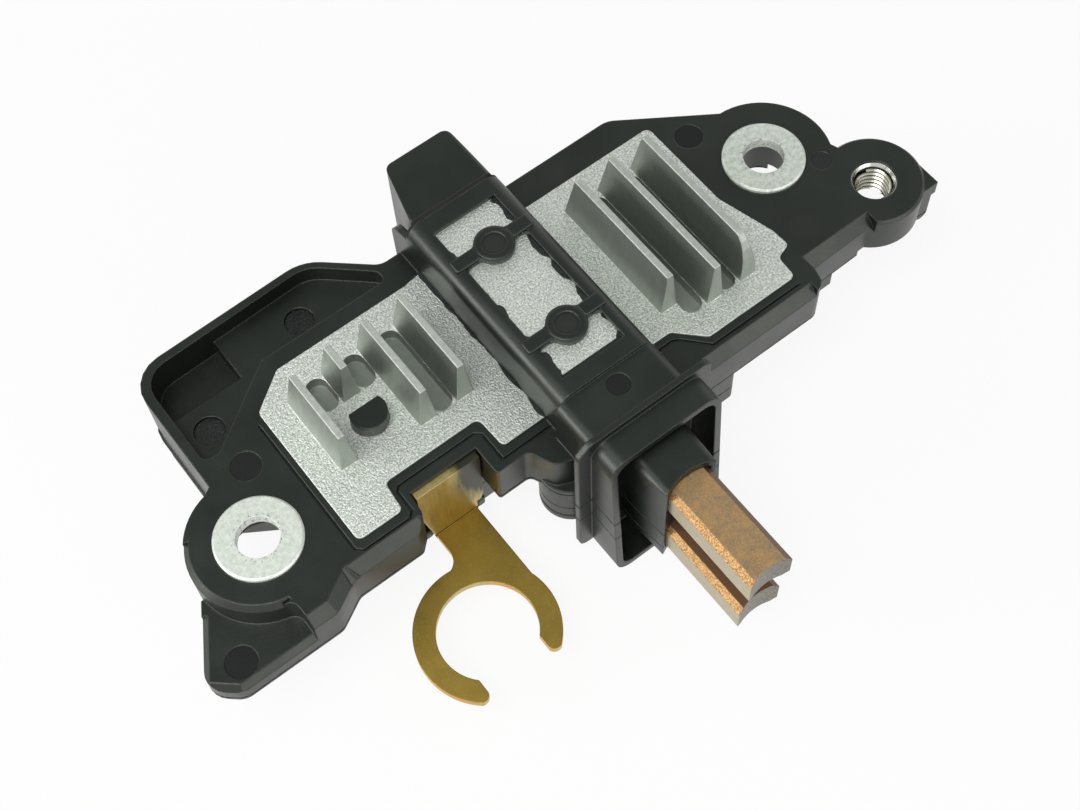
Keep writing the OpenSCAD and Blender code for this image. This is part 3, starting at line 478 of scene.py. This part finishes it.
# %% Rolled brass sheet
def brass_sheet():
    material, tree, in_mm, edge = start("brass_sheet_stamped", 0.15)
    drag = dragged_grain(tree, in_mm, (1.0, 1.0, 0.12), 2.6, 4.0, 0.65)
    cloud = add(tree, "ShaderNodeTexNoise", Vector=in_mm, Scale=0.25, Detail=4.0, Roughness=0.6).outputs[0]
    fine = add(tree, "ShaderNodeTexNoise", Vector=in_mm, Scale=4.0, Detail=2.0).outputs[0]
    place = add(tree, "ShaderNodeSeparateXYZ", Vector=in_mm).outputs
    # the flat ring below the moulding, and the leg's face with the end inside the moulding
    flat, leg = facing(tree, "Z", *LEVEL), facing(tree, "Y", -0.6, -0.9)
    below = add(tree, "ShaderNodeMapRange", Value=place["Z"], From_Min=leg_shown_z,
                From_Max=leg_shown_z - 1.0)
    flat = add(tree, "ShaderNodeMath", MULTIPLY, i0=flat, i1=below.outputs[0]).outputs[0]
    hidden = add(tree, "ShaderNodeMapRange", Value=place["Z"], From_Min=leg_hidden_z,
                 From_Max=leg_hidden_z + 0.15)
    leg = add(tree, "ShaderNodeMath", MAXIMUM, i0=leg, i1=hidden.outputs[0]).outputs[0]
    # colours
    scuffs = add(tree, "ShaderNodeMapRange", Value=fine, From_Min=0.56, From_Max=0.74).outputs[0]
    ring = add(tree, "ShaderNodeMix", RGBA, i0=cloud, i6="#9c833c", i7="#be9f50").outputs[2]
    ring = add(tree, "ShaderNodeMix", RGBA, i0=scuffs, i6=ring, i7="#c0a252").outputs[2]
    face = add(tree, "ShaderNodeMix", RGBA, i0=drag, i6="#a28e50", i7="#e4d398").outputs[2]
    colour = add(tree, "ShaderNodeMix", RGBA, i0=leg, i6="#d6a247", i7=face).outputs[2]
    colour = add(tree, "ShaderNodeMix", RGBA, i0=flat, i6=colour, i7=ring).outputs[2]
    corner = tinned_corner(tree, place, drag)
    corner = add(tree, "ShaderNodeMath", MULTIPLY, i0=corner, i1=leg).outputs[0]
    colour = add(tree, "ShaderNodeMix", RGBA, i0=corner, i6=colour, i7="#4c4c43").outputs[2]
    crease = foot_crease(tree, place, leg)
    colour = add(tree, "ShaderNodeMix", RGBA, i0=crease, i6=colour, i7="#241d0c").outputs[2]
    # gloss and relief
    shine = add(tree, "ShaderNodeMapRange", Value=cloud, To_Min=0.34, To_Max=0.46).outputs[0]
    relief = add(tree, "ShaderNodeMix", FLOAT, i0=leg, i2=fine, i3=drag).outputs[0]
    bump = add(tree, "ShaderNodeBump", Strength=0.4, Distance=0.03 * MM, Height=relief, Normal=edge)
    metal = add(tree, "ShaderNodeBsdfPrincipled", Base_Color=colour, Metallic=1.0, Roughness=shine,
                Normal=bump.outputs[0])
    add(tree, "ShaderNodeOutputMaterial", Surface=metal.outputs[0])
    return material

coat(brass_sheet(), "ring_terminal", "strip_upper", "strip_lower", "insert_strip")

# %% [markdown]
# ## Pressed copper graphite
# A brush is pressed from copper and graphite powder. Its top shows orange flecks of copper in
# grey-brown graphite, and the lower brush's top is painted browner, as the shade between the two
# brushes. The long bevels were ground and shine like new copper, and those that face right are
# painted darker as shade. The sides are pale, and the end that runs on the slip ring is grey.

# %% Copper graphite
lower_top_z = -6.8

def copper_graphite():
    material, tree, in_mm, edge = start("copper_graphite_pressed", 0.2)
    speck = add(tree, "ShaderNodeTexNoise", Vector=in_mm, Scale=4.6, Detail=3.0, Roughness=0.75).outputs[0]
    patch = add(tree, "ShaderNodeTexNoise", Vector=in_mm, Scale=0.8, Detail=5.0, Roughness=0.65).outputs[0]
    drag = dragged_grain(tree, in_mm, (1.0, 0.12, 1.0), 3.0, 3.0, 0.7)
    side = facing_either(tree, "X", 0.85, 0.98)
    flat = facing_either(tree, "Z", 0.85, 0.98)
    end = facing_either(tree, "Y", 0.4, 0.6)
    # the pressed top with its flecks, with painted shade that makes the lower brush's top browner
    fleck = add(tree, "ShaderNodeMath", MULTIPLY_ADD, i0=patch, i1=0.5, i2=speck).outputs[0]
    fleck = add(tree, "ShaderNodeMapRange", Value=fleck, From_Min=0.66, From_Max=0.90).outputs[0]
    height = add(tree, "ShaderNodeSeparateXYZ", Vector=in_mm).outputs["Z"]
    # painted shade: below this height the top of the lower brush is coloured browner
    lower = add(tree, "ShaderNodeMapRange", Value=height, From_Min=lower_top_z, From_Max=lower_top_z - 0.2)
    pressed = add(tree, "ShaderNodeMix", RGBA, i0=patch, i6="#86755d", i7="#a58e6d").outputs[2]
    pressed = add(tree, "ShaderNodeMix", RGBA, i0=fleck, i6=pressed, i7="#be935b").outputs[2]
    pressed = add(tree, "ShaderNodeMix", RGBA, i0=lower.outputs[0], i6=pressed, i7="#6a4d36").outputs[2]
    # the ground bevels, with painted shade on those that face right, the pale sides and the worn end
    glints = add(tree, "ShaderNodeMapRange", Value=speck, From_Min=0.38, From_Max=0.6).outputs[0]
    ground = add(tree, "ShaderNodeMix", RGBA, i0=glints, i6="#80592f", i7="#cfa56c").outputs[2]
    # painted shade: bevels that face right are coloured darker than those on the left
    painted_shade_right = facing(tree, "X", 0.3, 0.6)
    ground = add(tree, "ShaderNodeMix", RGBA, i0=painted_shade_right, i6=ground, i7="#6b5336").outputs[2]
    pale = add(tree, "ShaderNodeMix", RGBA, i0=drag, i6="#9d9177", i7="#cdc3aa").outputs[2]
    worn = add(tree, "ShaderNodeMix", RGBA, i0=glints, i6="#57524a", i7="#8a8476").outputs[2]
    colour = add(tree, "ShaderNodeMix", RGBA, i0=side, i6=ground, i7=pale).outputs[2]
    colour = add(tree, "ShaderNodeMix", RGBA, i0=flat, i6=colour, i7=pressed).outputs[2]
    colour = add(tree, "ShaderNodeMix", RGBA, i0=end, i6=colour, i7=worn).outputs[2]
    rough = add(tree, "ShaderNodeMapRange", Value=flat, To_Min=0.42, To_Max=0.6).outputs[0]
    bump = add(tree, "ShaderNodeBump", Strength=0.7, Distance=0.06 * MM, Height=speck, Normal=edge)
    block = add(tree, "ShaderNodeBsdfPrincipled", Base_Color=colour, Metallic=0.45, Roughness=rough,
                Normal=bump.outputs[0])
    add(tree, "ShaderNodeOutputMaterial", Surface=block.outputs[0])
    return material

coat(copper_graphite(), "brush_upper", "brush_lower")

# %% [markdown]
# ## Copper, resin and potting
# The leads, the regulator's copper slug, its resin case and the potting only show when the
# part is taken apart. One mottled finish with other colours and gloss is enough for each.

# %% Finishes of the hidden pieces
def plain_finish(name, low_code, high_code, metallic, rough, grains_a_mm):
    material, tree, in_mm, edge = start(name, 0.1)
    mottle = add(tree, "ShaderNodeTexNoise", Vector=in_mm, Scale=grains_a_mm, Detail=4.0).outputs[0]
    colour = add(tree, "ShaderNodeMix", RGBA, i0=mottle, i6=low_code, i7=high_code).outputs[2]
    bump = add(tree, "ShaderNodeBump", Strength=0.2, Distance=0.04 * MM, Height=mottle, Normal=edge)
    skin = add(tree, "ShaderNodeBsdfPrincipled", Base_Color=colour, Metallic=metallic, Roughness=rough,
               Normal=bump.outputs[0])
    add(tree, "ShaderNodeOutputMaterial", Surface=skin.outputs[0])
    return material

copper = plain_finish("copper_strand_drawn", "#9a5a3c", "#d08a66", 1.0, 0.4, 4.0)
coat(copper, "lead_upper", "lead_lower", "module_base")
coat(plain_finish("epoxy_resin_moulded", "#101010", "#1c1c1c", 0.0, 0.6, 3.0), "module_case")
coat(plain_finish("potting_resin_cast", "#231f1b", "#35302a", 0.0, 0.35, 1.0), "potting")

# %% [markdown]
# ## Helpers for new pieces
# A new piece is shaped in a bmesh with its place in its mesh, so its object stays at the
# origin. It then gets a finish and the body that it rides on.
# Spun sleeves, raised faces and bevelled blocks come up more than once, so they have helpers.

# %% Put a finished bmesh into the scene
merge_mm = 0.0005

def piece(name, bm, material):
    bmesh.ops.remove_doubles(bm, verts=bm.verts, dist=merge_mm * MM)
    bmesh.ops.recalc_face_normals(bm, faces=bm.faces)
    obj = bpy.data.objects.new(name, bpy.data.meshes.new(name))
    bm.to_mesh(obj.data)
    bm.free()
    obj.data.materials.append(material)
    scene.collection.objects.link(obj)
    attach(obj, "frame")
    print(name, len(obj.data.polygons), "faces")
    return obj

print("points closer than", merge_mm, "mm are merged in each new piece")

# %% Spin a sleeve, raise a face, lay a block
def ring_of_points(bm, outline, centre, steps):
    """Spins a closed outline of (radius, height) pairs, in mm, into a sleeve. The centre is in metres."""
    verts = [bm.verts.new((centre[0] + r * MM, centre[1], h * MM)) for r, h in outline]
    edges = [bm.edges.new((verts[k], verts[(k + 1) % len(verts)])) for k in range(len(verts))]
    bmesh.ops.spin(bm, geom=verts + edges, cent=(centre[0], centre[1], 0), axis=(0, 0, 1),
                   angle=2 * math.pi, steps=steps, use_merge=True, use_duplicate=False)

def raise_face(bm, base, height_mm):
    """Walls a flat face in up to a copy of itself, so that the two close a block."""
    raised = bmesh.ops.extrude_face_region(bm, geom=[base], use_keep_orig=True)
    lifted = [v for v in raised["geom"] if isinstance(v, bmesh.types.BMVert)]
    bmesh.ops.translate(bm, verts=lifted, vec=(0, 0, height_mm * MM))

def lay_block(bm, middle, size):
    """A block by its middle and size, in mm. Its edges are bevelled once all blocks are laid."""
    made = bmesh.ops.create_cube(bm, size=1.0)["verts"]
    bmesh.ops.scale(bm, verts=made, vec=[length * MM for length in size])
    bmesh.ops.translate(bm, verts=made, vec=[place * MM for place in middle])

def bevel_all(bm, wide_mm, segments):
    bmesh.ops.bevel(bm, geom=list(bm.edges), offset=wide_mm * MM, affect="EDGES", segments=segments,
                    profile=0.5, material=-1)

print("a sleeve can be spun, a face raised, and blocks laid and bevelled")

# %% [markdown]
# ## The thread of the terminal
# An M5 thread is one small tooth that climbs round the bore. The solid keeps only the smooth
# bore at the thread's crests, so the insert is made again here: a sleeve is spun from its
# outline, bored out to the thread's roots, and one tooth is spun up the bore by 0.8 mm a turn.
# The roots are painted dark as shade and the crests are bright, which lets the eye count the turns.

# %% Measures of the insert
insert_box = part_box("terminal_insert")
insert_low, insert_high = (corner[2] / MM for corner in insert_box)
insert_x, insert_y = (sum(corner[k] for corner in insert_box) / 2 for k in (0, 1))
sleeve_r = (insert_box[1][0] - insert_box[0][0]) / 2 / MM
crest_r, root_r, pitch = 2.15, 2.5, 0.8
neck_r, mouth_r, neck_z, mouth_deep = 3.0, 2.86, -1.8, 0.5
turns, steps_a_turn, tooth_start = 5.2, 40, 0.05
# the tooth's outline as (radius, height): wide at its foot, which is sunk in the sleeve, narrow at its crest
foot_r = root_r + 0.08
tooth_outline = ((foot_r, 0.0), (crest_r, 0.32), (crest_r, 0.42), (foot_r, 0.74))
print("insert, low, high and radius in mm:", [round(v, 2) for v in (insert_low, insert_high, sleeve_r)])

# %% Steel with painted shade in its thread
def threaded_steel(centre, shallow_r, deep_r):
    material, tree, in_mm, edge = start("steel_plated_threaded", 0.05)
    radius = radius_from(tree, in_mm, centre)
    # painted shade: the thread's roots are coloured dark by their distance from the bore's axis
    root_shade = add(tree, "ShaderNodeMapRange", Value=radius, From_Min=shallow_r, From_Max=deep_r).outputs[0]
    rim = add(tree, "ShaderNodeMapRange", Value=radius, From_Min=deep_r + 0.1, From_Max=deep_r + 0.2)
    colour = add(tree, "ShaderNodeMix", RGBA, i0=root_shade, i6="#dedbcc", i7="#1d1b17").outputs[2]
    colour = add(tree, "ShaderNodeMix", RGBA, i0=rim.outputs[0], i6=colour, i7="#c2c4bb").outputs[2]
    metal = add(tree, "ShaderNodeBsdfPrincipled", Base_Color=colour, Metallic=1.0, Roughness=0.22,
                Normal=edge)
    add(tree, "ShaderNodeOutputMaterial", Surface=metal.outputs[0])
    return material

root_shaded_steel = threaded_steel((insert_x / MM, insert_y / MM), crest_r + 0.06, root_r - 0.08)
print(root_shaded_steel.name, "turns dark from", round(crest_r + 0.06, 2), "mm outwards")

# %% Threaded insert
bm = bmesh.new()
ring_of_points(bm, [(root_r, insert_low), (sleeve_r, insert_low), (sleeve_r, neck_z), (neck_r, neck_z),
                    (neck_r, insert_high), (mouth_r, insert_high), (root_r, insert_high - mouth_deep)],
               (insert_x, insert_y), 64)
tooth = [bm.verts.new((insert_x + r * MM, insert_y, (insert_low + tooth_start + h) * MM))
         for r, h in tooth_outline]
tooth_face = bm.faces.new(tooth)
bmesh.ops.spin(bm, geom=tooth + list(tooth_face.edges) + [tooth_face], cent=(insert_x, insert_y, 0),
               axis=(0, 0, 1), dvec=(0, 0, pitch * MM / steps_a_turn), angle=2 * math.pi * turns,
               steps=int(turns * steps_a_turn), use_merge=False, use_duplicate=False)
threaded = piece("terminal_insert_threaded", bm, root_shaded_steel)
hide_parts("terminal_insert")

# %% [markdown]
# ## Springs and leads of the brushes
# A coil spring behind each brush pushes it out. Its round wire is a small circle spun up a
# helix. When the brush is pushed in, the coils close up. The stranded copper lead runs down its
# middle. The real one folds in loose waves, and here it is a twisted strand, because that reads the same.

# %% Hide the solid that a piece replaces
def tie_to_joint(obj, node):
    """Hides the solid that the piece replaces and gives the piece a mesh of its own."""
    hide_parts(node)
    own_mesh(obj)

def spin_along(bm, face, centre_x, centre_z, length, turns, steps):
    """Spins a face round an axis along Y and moves it on by `length`, all in metres."""
    bmesh.ops.spin(bm, geom=list(face.verts) + list(face.edges) + [face], cent=(centre_x, 0, centre_z),
                   axis=(0, 1, 0), dvec=(0, length / steps, 0), angle=2 * math.pi * turns, steps=steps,
                   use_merge=False, use_duplicate=False)

# %% Springs and strands
steps_a_coil, strand_steps = 24, 80

def wound_spring(name, node, wire_r, turns):
    low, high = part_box(node)
    centre_x, centre_z = (low[0] + high[0]) / 2, (low[2] + high[2]) / 2
    bm = bmesh.new()
    start_at = Matrix.Translation((high[0] - wire_r, low[1] + wire_r, centre_z))
    wire = bmesh.ops.create_circle(bm, cap_ends=True, segments=10, radius=wire_r, matrix=start_at)["verts"]
    climb = high[1] - low[1] - 2 * wire_r
    spin_along(bm, wire[0].link_faces[0], centre_x, centre_z, climb, turns, turns * steps_a_coil)
    tie_to_joint(piece(name, bm, bright_steel), node)

def twisted_strand(name, node, strands, lay):
    low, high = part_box(node)
    centre_x, centre_z = (low[0] + high[0]) / 2, (low[2] + high[2]) / 2
    outer, length = (high[0] - low[0]) / 2, high[1] - low[1]
    # one strand's outline, from its crown down into the groove beside the next and up again
    lobe = (1, 0.94, 0.8, 0.94)
    bm = bmesh.new()
    ring = []
    for k in range(strands * len(lobe)):
        r, angle = outer * lobe[k % len(lobe)], 2 * math.pi * k / (strands * len(lobe))
        ring.append(bm.verts.new((centre_x + r * math.cos(angle), low[1], centre_z + r * math.sin(angle))))
    spin_along(bm, bm.faces.new(ring), centre_x, centre_z, length, length / lay, strand_steps)
    tie_to_joint(piece(name, bm, copper), node)

wire_r, coils = 0.25 * MM, 15
strands, lay = 7, 5 * MM
for which in ("upper", "lower"):
    wound_spring(f"spring_{which}_coil", f"spring_{which}", wire_r, coils)
    twisted_strand(f"lead_{which}_strand", f"lead_{which}", strands, lay)

# %% [markdown]
# ## Ejector pin marks
# When the mould opens, steel pins push the part out and each leaves a round print. The solid
# has a shallow seat at each place. A thin disc fills it with the coarser, matter skin that the
# pin's face leaves, a little below the surface round it. The two prints on the tray are torn
# and glossier. The crumble is drawn at 0.4 mm, so that it shows at this distance.

# %% Skin under a pin
def pin_skin(name, colour_a, colour_b, rough, depth, glass):
    material, tree, in_mm, edge = start(name, 0.05)
    crumble = add(tree, "ShaderNodeTexNoise", Vector=in_mm, Scale=2.4, Detail=4.0, Roughness=0.7).outputs[0]
    colour = add(tree, "ShaderNodeMix", RGBA, i0=crumble, i6=colour_a, i7=colour_b).outputs[2]
    bump = add(tree, "ShaderNodeBump", Strength=0.7, Distance=depth * MM, Height=crumble, Normal=edge)
    skin = add(tree, "ShaderNodeBsdfPrincipled", Base_Color=colour, Roughness=rough, IOR=glass,
               Normal=bump.outputs[0])
    add(tree, "ShaderNodeOutputMaterial", Surface=skin.outputs[0])
    return material

matte_pins = pin_skin("plastic_pin_print_matte", "#040505", "#0f1211", 0.7, 0.06, 1.4)
glossy_pins = pin_skin("plastic_pin_print_torn", "#070909", "#111617", 0.3, 0.16, 1.5)
faint_pins = pin_skin("plastic_pin_print_faint", "#0a0d0c", "#131715", 0.6, 0.04, 1.5)
print("skins:", matte_pins.name, glossy_pins.name, faint_pins.name)

# %% Discs
disc_gap = 0.03  # between a disc and its seat's wall

def discs(name, marks, thick, material):
    """Each mark is its X and Y, the seat's radius and the height of the seat's floor."""
    bm = bmesh.new()
    for x, y, radius, floor_mm in marks:
        made = bmesh.ops.create_circle(bm, cap_ends=True, segments=40, radius=(radius - disc_gap) * MM,
                                       matrix=Matrix.Translation((x * MM, y * MM, floor_mm * MM)))
        raise_face(bm, made["verts"][0].link_faces[0], thick)
    piece(name, bm, material)

# heights of the seats' floors: on the wings, the left tab, the tray and the bridge's front
wing_seat, faint_seat, tab_seat, tray_seat = (wing_top - depth for depth in (0.15, 0.1, 4.15, 3.1))
bridge_seat = 6.85
discs("pin_marks_flat", [(4, 9, 1.95, wing_seat), (76.7, 13.2, 1.9, wing_seat), (-9.7, -9.9, 2.0, tab_seat),
                         (43.5, -13.3, 1.5, bridge_seat)], 0.12, matte_pins)
discs("pin_mark_faint", [(87.7, -0.6, 1.4, faint_seat)], 0.07, faint_pins)
discs("pin_marks_tray", [(3.4, 17.2, 2.0, tray_seat), (20.9, 23.4, 1.95, tray_seat)], 0.2, glossy_pins)

# %% [markdown]
# ## Webs of the straps
# Two plastic straps cross the windows of the bridge and clamp the heat sink. On the real
# moulding every inner corner of a strap is hollowed round, where the melt flowed through. The
# solid has sharp corners there, so a small web with one hollow side is set into each. A point
# spun round the middle of the hollow draws the curve, and a face raised from it gives the web.

# %% One hollow web
def web(bm, corner, first, middle, sweep, low_z, high_z):
    """One web: its sharp corner, the first point of its hollow curve, the curve's middle and angle."""
    point = bm.verts.new((first[0] * MM, first[1] * MM, low_z * MM))
    bmesh.ops.spin(bm, geom=[point], cent=(middle[0] * MM, middle[1] * MM, low_z * MM), axis=(0, 0, 1),
                   angle=sweep, steps=8, use_duplicate=False)
    curve, onward = [], [point]
    while onward:
        curve += onward
        beside = [edge.other_vert(curve[-1]) for edge in curve[-1].link_edges]
        onward = [vert for vert in beside if vert not in curve]
    tip = bm.verts.new((corner[0] * MM, corner[1] * MM, low_z * MM))
    raise_face(bm, bm.faces.new(curve + [tip]), high_z - low_z)

# the straps' middle lines, their arms' half width, the pads' radius and the hollow's radius
arm_lines, half_arm, pad_r, hollow = (11.4, -3.0), 0.95, 2.6, 0.9
window_left, window_right = 38.7, 48.0
print("straps along Y", arm_lines, "hollow radius", hollow, "mm")

# %% Webs at the pads and at the windows' sides
web_low, pad_web_high, side_web_high, sunk_in = 6.85, 7.73, 7.49, 0.3
bm = bmesh.new()
for arm_y, (pad_x, pad_y) in zip(arm_lines, pads):
    for side in (-1, 1):
        for up in (-1, 1):
            reach = up * (arm_y + up * half_arm - pad_y)
            mid_y, mid_x = reach + hollow, math.sqrt((pad_r + hollow) ** 2 - (reach + hollow) ** 2)
            middle = (pad_x + side * mid_x, pad_y + up * mid_y)
            corner = (pad_x + side * mid_x * 0.5, pad_y + up * reach * 0.5)
            web(bm, corner, (middle[0], middle[1] - up * hollow), middle,
                -side * up * math.atan2(mid_x, mid_y), web_low, pad_web_high)
            edge_x = window_left if side < 0 else window_right
            foot = (edge_x - side * hollow, arm_y + up * (half_arm + hollow))
            corner = (edge_x + side * sunk_in, arm_y + up * (half_arm - sunk_in))
            web(bm, corner, (foot[0], foot[1] - up * hollow), foot,
                side * up * math.pi / 2, web_low, side_web_high)
piece("strap_webs", bm, plastic)

# %% [markdown]
# ## Raised rings and arms of the straps
# Each strap widens to a round pad, and the pad has a low raised ring round the pin's print.
# Its rounded shoulder catches the light. One outline spun round the pad's middle makes it.
# The strap's arms stand up by almost the same height and end on the bridge's frame, so each is
# a block with bevelled edges that sinks into the frame below it.

# %% Pad rings
ring_high, ring_sunk = 0.19, 0.1
inner_r, outer_r = 1.5, 2.57
bm = bmesh.new()
for pad_x, pad_y in pads:
    ring_of_points(bm, [(inner_r, pad_top - ring_sunk), (inner_r, pad_top + ring_high * 0.5),
                        (inner_r + 0.12, pad_top + ring_high), (2.2, pad_top + ring_high),
                        (2.45, pad_top + ring_high * 0.6), (outer_r, pad_top - ring_sunk)],
                   (pad_x * MM, pad_y * MM), 48)
piece("strap_pad_rings", bm, plastic)

# %% Arms
arm_low, arm_high, arm_wide, arm_start = 7.2, pad_top + ring_high * 0.8, 2 * half_arm, 2.35
arm_reach = {-1: 6.1, 1: 5.6}  # from the pad's middle to the left and to the right
bm = bmesh.new()
for arm_y in arm_lines:
    for side, reach in arm_reach.items():
        middle = (pads[0][0] + side * (reach + arm_start) / 2, arm_y, (arm_high + arm_low) / 2)
        lay_block(bm, middle, (reach - arm_start, arm_wide, arm_high - arm_low))
bevel_all(bm, 0.24, 3)
piece("strap_arms", bm, plastic)

# %% [markdown]
# ## Clips at the foot of the brass leg
# Where the leg bends, the moulding holds it with a small claw on each side. Each is a block
# with its corners bevelled, pushed against the wall behind the leg.

# %% Clips
clip_y, clip_deep = -6.7, 1.3
clips = ((17.6, 18.9, -13.3, -11.7), (25.75, 27.0, -14.2, -12.4))  # left, right, low and high of each
bm = bmesh.new()
for x0, x1, z0, z1 in clips:
    lay_block(bm, ((x0 + x1) / 2, clip_y, (z0 + z1) / 2), (x1 - x0, clip_deep, z1 - z0))
bevel_all(bm, 0.28, 2)
piece("leg_clips", bm, plastic)

# %% [markdown]
# ## Sizes
# The box of the solids and the box of what now shows are both measured, and how far the second
# reaches past the first is printed. They differ only where a fine piece stands a little over the solid below
# it.

# %% Sizes past the solids' box
shown_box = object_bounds()
below = [max(0, a - b) for a, b in zip(solid_box[0], shown_box[0])]
above = [max(0, b - a) for a, b in zip(solid_box[1], shown_box[1])]
print("outside the solids' box in mm:", [round(v / MM, 2) for v in below + above])
